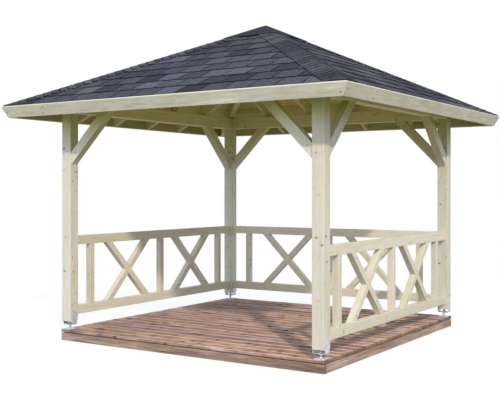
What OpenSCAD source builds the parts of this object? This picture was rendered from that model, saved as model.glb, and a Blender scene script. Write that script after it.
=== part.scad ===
// Square garden gazebo: a timber deck, four posts on adjustable steel feet, a ring of
// beams with knee braces, railings with crosses on three sides and a hipped pyramid roof.
// Millimetres, +Z up. The origin is on the ground under the middle of the deck.
// The open front faces -Y; left is -X, right is +X and back is +Y.

/* [Frame] */
// Distance between post centres, the same both ways
post_span = 3040; // [2400:10:4200]
// Side of a square post
post_w = 120; // [90:5:160]
// Length of a post
post_h = 2223; // [1900:1:2800]
// Width of a beam
beam_w = 120; // [80:5:160]
// Height of a beam
beam_h = 140; // [100:5:200]
// Width of a knee brace
brace_w = 95; // [60:5:140]
// Thickness of a knee brace
brace_t = 90; // [40:5:120]
// Length of a brace's leg along the post and along the beam
brace_leg = 554; // [350:1:800]

/* [Deck] */
// Thickness of the deck boards
deck_board_t = 28; // [18:1:45]
// Height of the deck's joists, which carry the boards
deck_frame_h = 89; // [45:1:160]
// Open recess between the rim boards and the deck boards
deck_recess = 9; // [0:1:30]
// Thickness of the deck's rim boards
deck_rim_t = 45; // [25:1:70]
// How far the deck boards reach past the outer faces of the posts
deck_lip = 5; // [0:1:60]
// Set-back of the rim from the edge of the boards
deck_overhang = 2; // [0:1:30]
// Number of joists between the two end rims
deck_joists = 5; // [2:1:9]

/* [Post feet] */
// Side of a foot's square base plate
foot_plate_w = 100; // [80:5:160]
// Thickness of a foot's base plate
foot_plate_t = 8; // [4:1:12]
// Diameter of a foot's rod
foot_rod_d = 20; // [14:1:30]
// Underside of the U bracket above the deck
foot_u_z = 50; // [30:1:120]
// Steel thickness of the U bracket
foot_u_t = 5; // [3:1:8]
// Width of the U bracket's cheeks
foot_u_w = 75; // [50:5:110]
// How far the cheeks reach up the post
foot_cheek_h = 110; // [60:5:200]
// Width across the flats of the rod's nut
foot_nut_w = 32; // [22:1:46]
// Height of the nut, between the U bracket and the post
foot_nut_h = 32; // [15:1:50]

/* [Railings] */
// Height of the top of the railing above the deck
rail_top = 995; // [800:1:1200]
// Height of a rail
rail_h = 97; // [60:1:140]
// Thickness of the rails, balusters and crosses
rail_t = 65; // [40:1:90]
// Underside of the bottom rail above the deck
rail_low = 151; // [120:1:300]
// Width of a baluster
baluster_w = 65; // [40:1:100]
// Clear gap between a post and its nearest baluster
baluster_gap = 214; // [80:1:400]
// Width of a cross bar
cross_w = 66; // [40:1:90]
// Slope of the cross bars in degrees
cross_angle = 45; // [40:1:55]
// Clearance of the pockets that let a foot's cheek into a rail
cheek_clear = 0.5; // [0.2:0.1:2]

/* [Roof] */
// Slope of the roof in degrees
roof_pitch = 25.3; // [18:0.1:38]
// From a post's centre out to the outer face of the fascia, at the eaves
eaves_out = 507; // [300:1:700]
// Depth of a rafter, square to the slope
rafter_h = 95; // [70:5:160]
// Width of a jack rafter
rafter_w = 45; // [35:5:80]
// Distance between jack rafters
rafter_spacing = 620; // [400:10:800]
// Depth of the notch that seats a rafter on its beam
rafter_seat = 13; // [5:1:40]
// Width of a hip rafter
hip_w = 70; // [45:5:100]
// Depth of a hip rafter, measured plumb
hip_h = 130; // [90:5:200]
// Joint between the tips of the hip rafters
hip_joint = 1; // [0.5:0.5:5]
// Thickness of the roof boarding
roof_board_t = 18; // [12:1:30]
// Thickness of the shingles where they lap
shingle_t = 10; // [4:1:20]
// Thickness of the fascia
fascia_t = 20; // [15:1:35]
// Height of the fascia, square to the slope
fascia_h = 127; // [80:1:200]
// Drop of the fascia's top edge below the top of the shingles
fascia_drop = 4; // [0:1:20]
// Width of a hip cap to each side of the hip
hip_cap_w = 160; // [100:5:220]
// Thickness of a hip cap
hip_cap_t = 5; // [3:1:12]
// Half the plan side of the cap on the top of the roof
top_cap_half = 336; // [250:2:500]
// Thickness of the cap on the top of the roof
top_cap_t = 5; // [3:1:12]

/* [Hidden] */

// Overlap that cuts reach past a face, so that no skin is left
cut = 1;
// Turn of each side from the back, which is built first
turn_back = 0;
turn_left = 90;
turn_front = 180;
turn_right = 270;

timber = "#DCD9C3";
deck_wood = "#967868";
steel = "#B4B9C3";
bitumen = "#50505C";

half = post_span / 2;
face_in = half - post_w / 2;
face_out = half + post_w / 2;

deck_top = deck_frame_h + deck_board_t;
deck_half = face_out + deck_lip;
rim_half = deck_half - deck_overhang;
rim_top = deck_frame_h - deck_recess;

post_z = deck_top + foot_u_z + foot_u_t + foot_nut_h;
beam_z = post_z + post_h;
beam_top = beam_z + beam_h;
beam_in = half - beam_w / 2;
beam_out = half + beam_w / 2;

// Depths of the roof's layers below the top of the shingles, square to the slope
t_boards = shingle_t;
t_rafters = t_boards + roof_board_t;
t_under = t_rafters + rafter_h;
eaves_r = half + eaves_out;
apex_z = beam_top - rafter_seat + beam_out * tan(roof_pitch) + t_under / cos(roof_pitch);
// Plan distance that is past every edge of the roof, and a height past its top
reach = eaves_r + 200;
sky = apex_z + 200;

// Height of the plane that lies t below the top of the shingles, at plan distance r
function roof_z(r, t) = apex_z - r * tan(roof_pitch) - t / cos(roof_pitch);
// Point [r, z] at depth t, a distance back up the slope from the fascia's outer face
function eave_pt(t, back) = [
    eaves_r - back * cos(roof_pitch) - t * sin(roof_pitch),
    roof_z(eaves_r, 0) + back * sin(roof_pitch) - t * cos(roof_pitch),
];

// ---- helpers ------------------------------------------------------------------

// Extrudes an outline of [r, z] points along X, centred, with r along +Y
module along_side(length) {
    translate([-length / 2, 0, 0]) rotate([90, 0, 90]) linear_extrude(length) children();
}

// The wedge over the back quarter of the plan, drawn in from both hips by inset
module back_quarter(inset = 0) {
    linear_extrude(sky) polygon([[0, inset], [reach, reach + inset], [-reach, reach + inset]]);
}

// One sloping layer of the back roof from depth t0 to t1, mitred at the hips
module roof_layer(t0, t1) {
    intersection() {
        along_side(2 * reach) polygon([
            eave_pt(t0, fascia_t), eave_pt(t1, fascia_t), [0, roof_z(0, t1)], [0, roof_z(0, t0)],
        ]);
        back_quarter();
    }
}

// A box from one corner to the other
module box(lo, hi) {
    translate(lo) cube(hi - lo);
}

// Copies its children to the line of posts on one side: the side runs along X there
module on_side(turn) {
    rotate([0, 0, turn]) translate([0, half, 0]) children();
}

// ---- deck ---------------------------------------------------------------------

module deck_boards() {
    color(deck_wood)
        box([-deck_half, -deck_half, deck_frame_h], [deck_half, deck_half, deck_top]);
}

module deck_long_rims() {
    color(deck_wood) for (turn = [turn_front, turn_back]) rotate([0, 0, turn])
        box([-rim_half, rim_half - deck_rim_t, 0], [rim_half, rim_half, rim_top]);
}

module deck_end_rims() {
    color(deck_wood) for (turn = [turn_left, turn_right]) rotate([0, 0, turn])
        box([deck_rim_t - rim_half, rim_half - deck_rim_t, 0],
            [rim_half - deck_rim_t, rim_half, rim_top]);
}

module deck_joist_set() {
    inner = rim_half - deck_rim_t;
    pitch = 2 * inner / (deck_joists + 1);
    color(deck_wood) for (i = [1 : deck_joists]) translate([i * pitch - inner, 0, 0])
        box([-deck_rim_t / 2, -inner, 0], [deck_rim_t / 2, inner, deck_frame_h]);
}

// ---- posts, feet, beams and braces ----------------------------------------------

module post(sx, sy) {
    color(timber) translate([sx * half, sy * half, post_z])
        box([-post_w / 2, -post_w / 2, 0], [post_w / 2, post_w / 2, post_h]);
}

// One adjustable foot: base plate, rod, nut and a U bracket whose cheeks clasp the post
module foot() {
    u_half = post_w / 2 + foot_u_t;
    box([-foot_plate_w / 2, -foot_plate_w / 2, 0], [foot_plate_w / 2, foot_plate_w / 2, foot_plate_t]);
    cylinder(h = foot_u_z, d = foot_rod_d, $fn = 48);
    box([-u_half, -foot_u_w / 2, foot_u_z], [u_half, foot_u_w / 2, foot_u_z + foot_u_t]);
    translate([0, 0, foot_u_z])
        cylinder(h = foot_u_t + foot_nut_h, d = foot_nut_w / cos(30), $fn = 6);
    for (s = [-1, 1]) foot_cheek(s, 0);
}

// One cheek of the U bracket, on the post's face at side s, grown by a clearance
module foot_cheek(s, clear) {
    top = foot_u_z + foot_u_t + foot_nut_h + foot_cheek_h;
    translate([s * (post_w + foot_u_t) / 2, 0, 0])
        box([-foot_u_t / 2 - clear, -foot_u_w / 2 - clear, foot_u_z],
            [foot_u_t / 2 + clear, foot_u_w / 2 + clear, top + clear]);
}

module post_feet() {
    color(steel) for (sx = [-1, 1], sy = [-1, 1]) translate([sx * half, sy * half, deck_top]) foot();
}

// The beams of the front and back run through; their lower halves carry the side beams
module through_beam(turn) {
    color(timber) rotate([0, 0, turn]) difference() {
        box([-beam_out, beam_in, beam_z], [beam_out, beam_out, beam_top]);
        for (s = [-1, 1]) translate([s * half, half, 0])
            box([-beam_w / 2 - cut, -beam_w / 2 - cut, beam_z + beam_h / 2],
                [beam_w / 2 + cut, beam_w / 2 + cut, beam_top + cut]);
    }
}

module side_beam(turn) {
    color(timber) rotate([0, 0, turn]) {
        box([-beam_in, beam_in, beam_z], [beam_in, beam_out, beam_top]);
        box([-beam_out, beam_in, beam_z + beam_h / 2], [beam_out, beam_out, beam_top]);
    }
}

// The space that the ring of beams takes up
module beam_ring() {
    difference() {
        box([-beam_out, -beam_out, beam_z], [beam_out, beam_out, beam_top]);
        box([-beam_in, -beam_in, beam_z - cut], [beam_in, beam_in, beam_top + cut]);
    }
}

// Two knee braces at 45 degrees, from the posts of one side up to its beam
module braces(turn) {
    slant = brace_w * sqrt(2);
    color(timber) on_side(turn) for (s = [0, 1]) mirror([s, 0, 0])
        translate([-face_in, brace_t / 2, beam_z]) rotate([90, 0, 0]) linear_extrude(brace_t)
            polygon([[0, -brace_leg], [brace_leg, 0], [brace_leg - slant, 0], [0, slant - brace_leg]]);
}

// ---- railings -----------------------------------------------------------------

// Upper face of the bottom rail, lower face of the top rail and the gap between them
low_z = deck_top + rail_low + rail_h;
high_z = deck_top + rail_top - rail_h;
gap_h = high_z - low_z;

module top_rail(turn) {
    color(timber) on_side(turn)
        box([-face_in, -rail_t / 2, high_z], [face_in, rail_t / 2, high_z + rail_h]);
}

// The feet's cheeks stand on the left and right faces of the posts, so only the rail
// between the two back posts meets them: it is let over them.
module bottom_rail(turn) {
    color(timber) on_side(turn) difference() {
        box([-face_in, -rail_t / 2, low_z - rail_h], [face_in, rail_t / 2, low_z]);
        if (turn == turn_back) for (s = [-1, 1])
            translate([s * half, 0, deck_top]) foot_cheek(-s, cheek_clear);
    }
}

// Centre of the baluster nearest a post, and of the bay between it and the middle one
end_baluster = face_in - baluster_gap - baluster_w / 2;
bay_centre = end_baluster / 2;

module balusters(turn) {
    color(timber) on_side(turn) for (x = [-end_baluster, 0, end_baluster])
        translate([x, 0, 0])
            box([-baluster_w / 2, -rail_t / 2, low_z], [baluster_w / 2, rail_t / 2, high_z]);
}

// One cross bar that leans by angle, cut level where it meets the rails
module bar_blank(angle) {
    intersection() {
        translate([0, 0, (low_z + high_z) / 2]) rotate([0, -angle, 0])
            cube([3 * gap_h, rail_t, cross_w], center = true);
        box([-2 * gap_h, -rail_t, low_z], [2 * gap_h, rail_t, high_z]);
    }
}

// The bars of both bays that lean one way. Each is halved at its middle, on its inner
// or outer side, and lies flush with the bar that crosses it.
module cross_bars(turn, angle, inner) {
    color(timber) on_side(turn) for (s = [-1, 1]) translate([s * bay_centre, 0, 0])
        difference() {
            bar_blank(angle);
            intersection() {
                bar_blank(-angle);
                translate([-2 * gap_h, inner * rail_t, 0]) cube([4 * gap_h, rail_t, sky]);
            }
        }
}

// ---- roof ---------------------------------------------------------------------

// Four hip rafters, backed to both slopes, seated on the beams' corners and cut plumb
// where their tips meet
module hip_rafters() {
    far = reach * sqrt(2);
    color(timber) for (turn = [turn_back, turn_left, turn_front, turn_right])
        rotate([0, 0, turn]) difference() {
            intersection() {
                along_side(2 * reach) under_boards();
                rotate([0, 0, -90]) along_side(2 * reach) under_boards();
                rotate([0, 0, 45]) translate([0, hip_w / 2, 0]) rotate([90, 0, 0])
                    linear_extrude(hip_w) polygon([
                        [0, roof_z(0, t_rafters) - hip_h], [far, roof_z(reach, t_rafters) - hip_h],
                        [far, sky], [0, sky],
                    ]);
                box([hip_joint / 2, hip_joint / 2, 0], [reach, reach, sky]);
            }
            beam_ring();
        }
}

// Outline of everything under the boarding and inside the fascia, over one slope
module under_boards() {
    polygon([
        eave_pt(t_rafters, fascia_t), eave_pt(t_under + hip_h, fascia_t),
        [0, roof_z(0, t_under + hip_h)], [0, roof_z(0, t_rafters)],
    ]);
}

// Jack rafters of all four slopes, cut against the hips and notched over the beams
module jack_rafters() {
    pairs = floor((half - 2 * hip_w) / rafter_spacing + 0.5);
    color(timber) for (turn = [turn_back, turn_left, turn_front, turn_right])
        rotate([0, 0, turn]) for (s = [-1, 1], i = [1 : pairs]) difference() {
            intersection() {
                translate([s * (i - 0.5) * rafter_spacing, 0, 0]) along_side(rafter_w) polygon([
                    eave_pt(t_rafters, fascia_t), eave_pt(t_under, fascia_t),
                    [0, roof_z(0, t_under)], [0, roof_z(0, t_rafters)],
                ]);
                back_quarter(hip_w / sqrt(2));
            }
            beam_ring();
        }
}

module roof_boards(turn) {
    color(timber) rotate([0, 0, turn]) roof_layer(t_boards, t_rafters);
}

module shingles(turn) {
    color(bitumen) rotate([0, 0, turn]) roof_layer(0, t_boards);
}

// A fascia stands square to the slope and is mitred at the hips
module fascia(turn) {
    low = fascia_drop + fascia_h;
    color(timber) rotate([0, 0, turn]) intersection() {
        along_side(2 * reach) polygon([
            eave_pt(fascia_drop, 0), eave_pt(low, 0), eave_pt(low, fascia_t),
            eave_pt(fascia_drop, fascia_t),
        ]);
        back_quarter();
    }
}

// A strip of shingles folded over each hip, from the eaves to under the top cap
module hip_caps() {
    // Plan width across the hip that gives hip_cap_w on the slope
    band = hip_cap_w * sqrt(1 + pow(cos(roof_pitch), 2));
    start = band + 2 * hip_cap_t;
    color(bitumen) for (turn = [turn_back, turn_left, turn_front, turn_right])
        rotate([0, 0, turn]) intersection() {
            union() {
                roof_layer(-hip_cap_t, 0);
                rotate([0, 0, -90]) roof_layer(-hip_cap_t, 0);
            }
            linear_extrude(sky) polygon([
                [start, start - band], [reach, reach - band], [reach, reach],
                [reach - band, reach], [start - band, start], [start, start],
            ]);
        }
}

// A folded cap over the tips of the hip caps
module top_cap() {
    base = hip_cap_t;
    color(bitumen) intersection() {
        union() {
            for (turn = [turn_back, turn_left, turn_front, turn_right])
                rotate([0, 0, turn]) roof_layer(-base - top_cap_t, -base);
        }
        box([-top_cap_half, -top_cap_half, 0], [top_cap_half, top_cap_half, sky]);
    }
}

// ---- nodes --------------------------------------------------------------------

deck_boards();
deck_long_rims();
deck_end_rims();
deck_joist_set();
post(-1, -1);  // front_left_post
post(1, -1);  // front_right_post
post(-1, 1);  // back_left_post
post(1, 1);  // back_right_post
post_feet();
through_beam(turn_front);  // front_beam
through_beam(turn_back);  // back_beam
side_beam(turn_left);  // left_beam
side_beam(turn_right);  // right_beam
braces(turn_front);  // front_braces
braces(turn_back);  // back_braces
braces(turn_left);  // left_braces
braces(turn_right);  // right_braces
top_rail(turn_left);  // left_top_rail
top_rail(turn_back);  // back_top_rail
top_rail(turn_right);  // right_top_rail
bottom_rail(turn_left);  // left_bottom_rail
bottom_rail(turn_back);  // back_bottom_rail
bottom_rail(turn_right);  // right_bottom_rail
balusters(turn_left);  // left_balusters
balusters(turn_back);  // back_balusters
balusters(turn_right);  // right_balusters
cross_bars(turn_left, cross_angle, -1);  // left_rising_bars
cross_bars(turn_back, cross_angle, -1);  // back_rising_bars
cross_bars(turn_right, cross_angle, -1);  // right_rising_bars
cross_bars(turn_left, -cross_angle, 0);  // left_falling_bars
cross_bars(turn_back, -cross_angle, 0);  // back_falling_bars
cross_bars(turn_right, -cross_angle, 0);  // right_falling_bars
hip_rafters();
jack_rafters();
roof_boards(turn_front);  // front_roof_boards
roof_boards(turn_back);  // back_roof_boards
roof_boards(turn_left);  // left_roof_boards
roof_boards(turn_right);  // right_roof_boards
shingles(turn_front);  // front_shingles
shingles(turn_back);  // back_shingles
shingles(turn_left);  // left_shingles
shingles(turn_right);  // right_shingles
fascia(turn_front);  // front_fascia
fascia(turn_back);  // back_fascia
fascia(turn_left);  // left_fascia
fascia(turn_right);  // right_fascia
hip_caps();
top_cap();
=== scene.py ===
"""Looks of a square garden gazebo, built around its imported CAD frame.

Metres, +Z up. The open front faces -Y. Timber members are bevelled copies of the CAD
solids with a grain of their own; boards, shingles, caps, feet and screws are built here.
"""

import math
import random

import bmesh
import bpy
from mathutils import Matrix, Vector


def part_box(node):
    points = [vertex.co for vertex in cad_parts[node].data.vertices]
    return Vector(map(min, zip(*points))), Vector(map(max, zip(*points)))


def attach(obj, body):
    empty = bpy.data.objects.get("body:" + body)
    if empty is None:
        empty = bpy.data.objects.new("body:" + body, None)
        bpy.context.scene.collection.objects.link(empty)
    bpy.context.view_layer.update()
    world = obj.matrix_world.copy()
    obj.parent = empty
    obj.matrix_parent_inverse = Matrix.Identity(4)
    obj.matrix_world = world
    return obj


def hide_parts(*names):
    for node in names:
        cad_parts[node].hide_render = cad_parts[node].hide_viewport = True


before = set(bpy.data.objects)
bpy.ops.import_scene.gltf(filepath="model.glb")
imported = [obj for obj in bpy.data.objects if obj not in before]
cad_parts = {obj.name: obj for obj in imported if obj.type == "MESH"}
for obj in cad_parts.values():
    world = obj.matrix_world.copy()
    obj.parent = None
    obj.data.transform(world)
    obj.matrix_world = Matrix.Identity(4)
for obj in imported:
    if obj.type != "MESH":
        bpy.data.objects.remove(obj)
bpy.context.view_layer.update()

# ---- sizes that the frame doesn't hold (metres) ----------------------------------

WELD = 0.00002
POST_ARRIS = 0.0035
RAIL_ARRIS = 0.003
FASCIA_ARRIS = 0.004
BOARD_ARRIS = 0.0025
RIM_ARRIS = 0.0015
RAFTER_ARRIS = 0.002
TAB_ARRIS = 0.0012

# Each piece takes its grain from a random place along this length of wood.
WOOD_RUN = 60

DECK_BOARDS = 22
DECK_GAP = 0.005
DECK_GROOVES = 9
DECK_GROOVE_DEPTH = 0.0015

ROOF_BOARDS = 20
ROOF_BOARD_GROOVE = 0.004
ROOF_BOARD_MITRE_GAP = 0.0005

SHINGLE_ROWS = 8
SHINGLE_EXPOSURE = 0.219
SHINGLE_TAB = 0.265
SHINGLE_SLOT = 0.014
SHINGLE_STEP = 0.009
# How far a tab's head reaches under the next row; short, so most of each slot shows the dark underlay as
# painted shade.
SHINGLE_LAP = 0.05

HIP_CAP_WIDTH = 0.160
HIP_CAP_EXPOSURE = 0.088
HIP_CAP_LAP = 0.04
HIP_CAP_T = 0.0035
HIP_CAP_BUTT = 0.0085
HIP_CAP_HEAD = 0.0035
HIP_CAP_SIDE = 0.0060
# Width of the band of painted shade below each hip cap's butt.
HIP_CAP_SHADE_BAND = 0.012
HIP_CAP_FOLD = 0.016
TOP_CAP_H = 0.0130

SCREW_INSET = 0.078
FASCIA_PAIR = 0.605
FASCIA_END = 0.075
END_RIM_SCREW_INSET = 0.022

PLATE_SIDE = 0.100
PLATE_T = 0.008
PLATE_CORNER = 0.006
PLATE_SCREW = 0.036
ROD_RADIUS = 0.010
ROD_SHORT_OF_POST = 0.010
ROD_SIDES = 24
THREAD_PITCH = 0.0025
THREAD_DEPTH = 0.0013
NUT_H = 0.015
NUT_ROOM = 0.032
STRAP_WIDTH = 0.075
STRAP_BEND = 0.012
STRAP_SCREW = 0.018
STRAP_SCREW_DROPS = (0.030, 0.080)

SKY = (0.86, 0.92, 1.0, 1)
SUN = (1.0, 0.85, 0.72)
WHITE = (1, 1, 1, 1)
FLOOR = (0.24, 0.225, 0.21, 1)
FLOOR_LIFT = (0.96, 0.98, 1, 1)
# Colour of the painted olive shade on wood under the roof.
PAINTED_ROOF_SHADE = (0.78, 0.80, 0.36, 1)

SIDES = ("front", "right", "back", "left")
Z = Vector((0, 0, 1))


# ---- node trees --------------------------------------------------------------------

def srgb(red, green, blue):
    """A colour written as 0 to 255 in sRGB, as the linear colour that shaders take."""
    def linear(value):
        share = value / 255
        return share / 12.92 if share <= 0.04045 else ((share + 0.055) / 1.055) ** 2.4
    return (linear(red), linear(green), linear(blue), 1.0)


class Tree:
    """Short calls that add nodes to the tree of a material or world and link them."""

    def __init__(self, owner):
        owner.use_nodes = True
        self.owner = owner
        self.nodes = owner.node_tree.nodes
        self.links = owner.node_tree.links
        self.shader = self.nodes.get("Principled BSDF")

    def feed(self, socket, value):
        if isinstance(value, bpy.types.NodeSocket):
            self.links.new(value, socket)
        else:
            socket.default_value = value

    def add(self, kind, inputs, **settings):
        node = self.nodes.new("ShaderNode" + kind)
        for name, value in settings.items():
            setattr(node, name, value)
        for name, value in inputs.items():
            self.feed(node.inputs[name], value)
        return node

    def attribute(self, name, output="Fac"):
        return self.add("Attribute", {}, attribute_name=name).outputs[output]

    def math(self, operation, a, b=0.0):
        return self.add("Math", {0: a, 1: b}, operation=operation).outputs[0]

    def scale(self, vector, factors):
        return self.add("VectorMath", {0: vector, 1: factors}, operation="MULTIPLY").outputs[0]

    def noise(self, vector, scale, detail=2.0, roughness=0.5):
        inputs = {"Vector": vector, "Scale": scale, "Detail": detail, "Roughness": roughness}
        return self.add("TexNoise", inputs).outputs["Fac"]

    def step(self, value, low, high, to_low=0.0, to_high=1.0):
        """A smooth step from to_low at low to to_high at high."""
        inputs = {"Value": value, "From Min": low, "From Max": high,
                  "To Min": to_low, "To Max": to_high}
        return self.add("MapRange", inputs, interpolation_type="SMOOTHSTEP").outputs[0]

    def mix(self, factor, a, b, blend="MIX"):
        node = self.add("Mix", {0: factor}, data_type="RGBA", blend_type=blend)
        self.feed(node.inputs[6], a)
        self.feed(node.inputs[7], b)
        return node.outputs[2]

    def ramp(self, value, stops):
        node = self.add("ValToRGB", {"Fac": value})
        ramp = node.color_ramp
        while len(ramp.elements) < len(stops):
            ramp.elements.new(0.5)
        for element, (place, colour) in zip(ramp.elements, stops):
            element.position = place
            element.color = colour
        return node.outputs["Color"]

    def bump(self, height, distance):
        return self.add("Bump", {"Height": height, "Distance": distance}).outputs["Normal"]

    def finish(self, colour, roughness, normal):
        self.feed(self.shader.inputs["Base Color"], colour)
        self.feed(self.shader.inputs["Roughness"], roughness)
        self.feed(self.shader.inputs["Normal"], normal)
        return self.owner


def material_tree(name):
    return Tree(bpy.data.materials.new(name))


# ---- materials ---------------------------------------------------------------------

def grey(level):
    return (level, level, level, 1.0)


def painted_roof_shade_share(t, top):
    """The share of painted olive shade on a face: up to 1 if it faces inwards high up under the roof.

    A face at the very top takes the share top, whichever way it faces.
    """
    place = t.add("TexCoord", {})
    outward = t.add("VectorMath", {0: t.scale(place.outputs["Object"], (1, 1, 0))},
                    operation="NORMALIZE").outputs[0]
    facing = t.add("VectorMath", {0: place.outputs["Normal"], 1: outward},
                   operation="DOT_PRODUCT").outputs["Value"]
    height = t.add("SeparateXYZ", {0: place.outputs["Object"]}).outputs[2]
    inward = t.math("MULTIPLY", t.step(facing, 0.2, -0.4), t.step(height, 1.7, 2.3, 0.0, 0.9))
    return t.math("MAXIMUM", inward, t.step(height, 2.10, 2.36, 0.0, top))


def knots(t, grain, across, number, size, absent):
    """Cores and halos of knots: spots on the directions out of the pith, so each is a cone."""
    outward = t.add("VectorMath", {0: across}, operation="NORMALIZE").outputs[0]
    along = t.scale(grain, (number, 0, 0))
    branch = t.add("VectorMath", {0: outward, 1: (0.66, 0.66, 0.66), 2: along},
                   operation="MULTIPLY_ADD").outputs[0]
    cells = t.add("TexVoronoi", {"Vector": branch, "Scale": 1.0})
    ragged = t.noise(grain, 160.0, 1.0)
    distance = t.math("ADD", cells.outputs["Distance"], t.math("MULTIPLY", ragged, 0.05))
    draw = t.add("SeparateColor", {0: cells.outputs["Color"]}).outputs[0]
    present = t.step(draw, absent, absent + 0.04)
    core = t.math("MULTIPLY", t.step(distance, size, size * 0.7), present)
    halo = t.math("MULTIPLY", t.step(distance, size * 2.6, size * 0.9), present)
    return core, halo


def late_wood(t, grain, across, halo):
    """The dark part of the growth rings, which wander along the wood and bend round knots."""
    radius = t.add("VectorMath", {0: across}, operation="LENGTH").outputs["Value"]
    wander = t.noise(t.scale(grain, (1.2, 9, 9)), 1.0, 2.0)
    bent = t.math("ADD", radius, t.math("MULTIPLY", wander, 0.030))
    bent = t.math("ADD", bent, t.math("MULTIPLY", halo, 0.012))
    phase = t.math("FRACT", t.math("MULTIPLY", bent, 210.0))
    return t.math("MULTIPLY", t.step(phase, 0.25, 0.9), t.step(phase, 1.0, 0.9))


def wood(name, palette, tints, tones, ring, knot, streaks, roof_shade_paint=None):
    """Softwood that follows the grain attribute: x along the wood, y and z from the pith.

    Growth rings run round the pith, knots run out from it and push the rings aside.
    palette colours the streaks, tints shifts them in patches, tones sets each piece apart.
    ring is the colour and strength of the late wood. knot is the colours of core and halo,
    the knots to a metre, their size and the share left out. streaks is their number along
    and across a metre and their contrast. The last argument is the colour of the painted olive
    shade under the roof and the share of it that every face takes at the top.
    """
    t = material_tree(name)
    grain = t.attribute("grain", "Vector")
    across = t.scale(grain, (0, 1, 1))
    core_colour, halo_colour, number, size, absent = knot
    core, halo = knots(t, grain, across, number, size, absent)
    late = late_wood(t, grain, across, halo)

    length, width, contrast = streaks
    fine = t.noise(t.scale(grain, (length, width, width)), 1.0, 3.0, 0.62)
    broad = t.noise(t.scale(grain, (length * 0.4, width * 0.25, width * 0.25)), 1.0, 2.0)
    patch = t.noise(t.scale(grain, (length * 4, width * 0.5, width * 0.5)), 1.0, 3.0, 0.65)
    fibre = t.noise(t.scale(grain, (9, 420, 420)), 1.0, 3.0, 0.65)

    level = t.math("ADD", t.math("MULTIPLY", fine, 0.6), t.math("MULTIPLY", broad, 0.4))
    level = t.add("MapRange", {"Value": level, "From Min": 0.5 - 0.5 / contrast,
                               "From Max": 0.5 + 0.5 / contrast}).outputs[0]
    tinted = t.mix(0.9, t.ramp(level, palette), t.ramp(patch, tints), "SOFT_LIGHT")
    # Painted shade: wood high up under the roof is multiplied by an olive tint.
    if roof_shade_paint:
        tint, top = roof_shade_paint
        tinted = t.mix(painted_roof_shade_share(t, top), tinted, t.mix(1.0, tinted, tint, "MULTIPLY"))
    ringed = t.mix(t.math("MULTIPLY", late, ring[1]), tinted, ring[0])
    fibred = t.mix(0.5, ringed, t.ramp(fibre, [(0.3, grey(0.35)), (0.7, grey(0.65))]), "SOFT_LIGHT")
    toned = t.mix(1.0, fibred, t.ramp(t.attribute("tone"), tones), "MULTIPLY")
    haloed = t.mix(t.math("MULTIPLY", halo, 0.5), toned, halo_colour)
    knotted = t.mix(t.math("MULTIPLY", core, 0.95), haloed, core_colour)
    # Faces flagged arris are lightened halfway to the lightest streak: a painted highlight on rounded
    # edges.
    painted_arris_highlight = t.mix(t.math("MULTIPLY", t.attribute("arris"), 0.5), knotted, palette[-1][1])
    darker_end = t.mix(1.0, painted_arris_highlight, srgb(214, 200, 176), "MULTIPLY")
    colour = t.mix(t.attribute("end"), painted_arris_highlight, darker_end)

    relief = t.math("ADD", t.math("MULTIPLY", fibre, 0.5), t.math("MULTIPLY", late, 0.35))
    relief = t.math("ADD", relief, t.math("MULTIPLY", core, -0.8))
    return t.finish(colour, t.step(fibre, 0.2, 0.8, 0.78, 0.58), t.bump(relief, 0.0007))


def timber_material(name, low, middle, high, absent):
    """Pressure-treated softwood of the posts and railings, from its dark to its light streaks."""
    palette = [(0.0, low), (0.45, middle), (0.6, high), (1.0, srgb(241, 241, 236))]
    tints = [(0.32, (0.43, 0.53, 0.41, 1)), (0.5, grey(0.5)), (0.68, (0.62, 0.51, 0.58, 1))]
    tones = [(0.0, srgb(238, 236, 230)), (0.5, srgb(247, 246, 243)), (1.0, srgb(255, 255, 255))]
    knot = (srgb(84, 70, 52), srgb(194, 180, 144), 14.0, 0.135, absent)
    ring = (srgb(206, 200, 172), 0.18)
    # Painted olive shade on faces high up under the roof, and on every face at the very top.
    roof_shade_paint = (PAINTED_ROOF_SHADE, 1.0)
    return wood(name, palette, tints, tones, ring, knot, (3.4, 44.0, 1.7), roof_shade_paint)


def fascia_material():
    """Clear timber with hardly a knot, cut far from the pith. Its streaks are set darker than the posts'
    timber: painted shade.
    """
    palette = [(0.0, srgb(180, 184, 160)), (0.35, srgb(206, 209, 191)), (0.65, srgb(215, 217, 202)),
               (1.0, srgb(240, 240, 232))]
    tints = [(0.34, (0.44, 0.52, 0.39, 1)), (0.5, grey(0.5)), (0.66, (0.59, 0.53, 0.55, 1))]
    tones = [(0.0, srgb(246, 244, 240)), (1.0, srgb(255, 255, 255))]
    knot = (srgb(96, 82, 62), srgb(190, 178, 144), 9.0, 0.07, 0.0)
    ring = (srgb(196, 190, 160), 0.25)
    # Painted olive shade on inward faces high up under the roof.
    roof_shade_paint = (PAINTED_ROOF_SHADE, 0.0)
    return wood("fascia_timber", palette, tints, tones, ring, knot, (4.5, 36.0, 2.8), roof_shade_paint)


def roof_timber_material():
    """Yellower timber of the beams and rafters, which stand under the roof: the yellow is painted olive
    shade, a shaded copy of the posts' timber.
    """
    palette = [(0.0, srgb(204, 201, 136)), (0.4, srgb(228, 226, 163)), (0.6, srgb(236, 233, 173)),
               (1.0, srgb(246, 244, 197))]
    tints = [(0.36, (0.44, 0.54, 0.40, 1)), (0.5, grey(0.5)), (0.64, (0.57, 0.5, 0.46, 1))]
    tones = [(0.0, srgb(230, 228, 218)), (0.5, srgb(246, 245, 242)), (1.0, srgb(255, 255, 255))]
    knot = (srgb(92, 76, 50), srgb(190, 170, 118), 14.0, 0.14, 0.5)
    return wood("roof_timber", palette, tints, tones, (srgb(196, 180, 124), 0.35), knot, (1.6, 50.0, 1.6))


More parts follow.
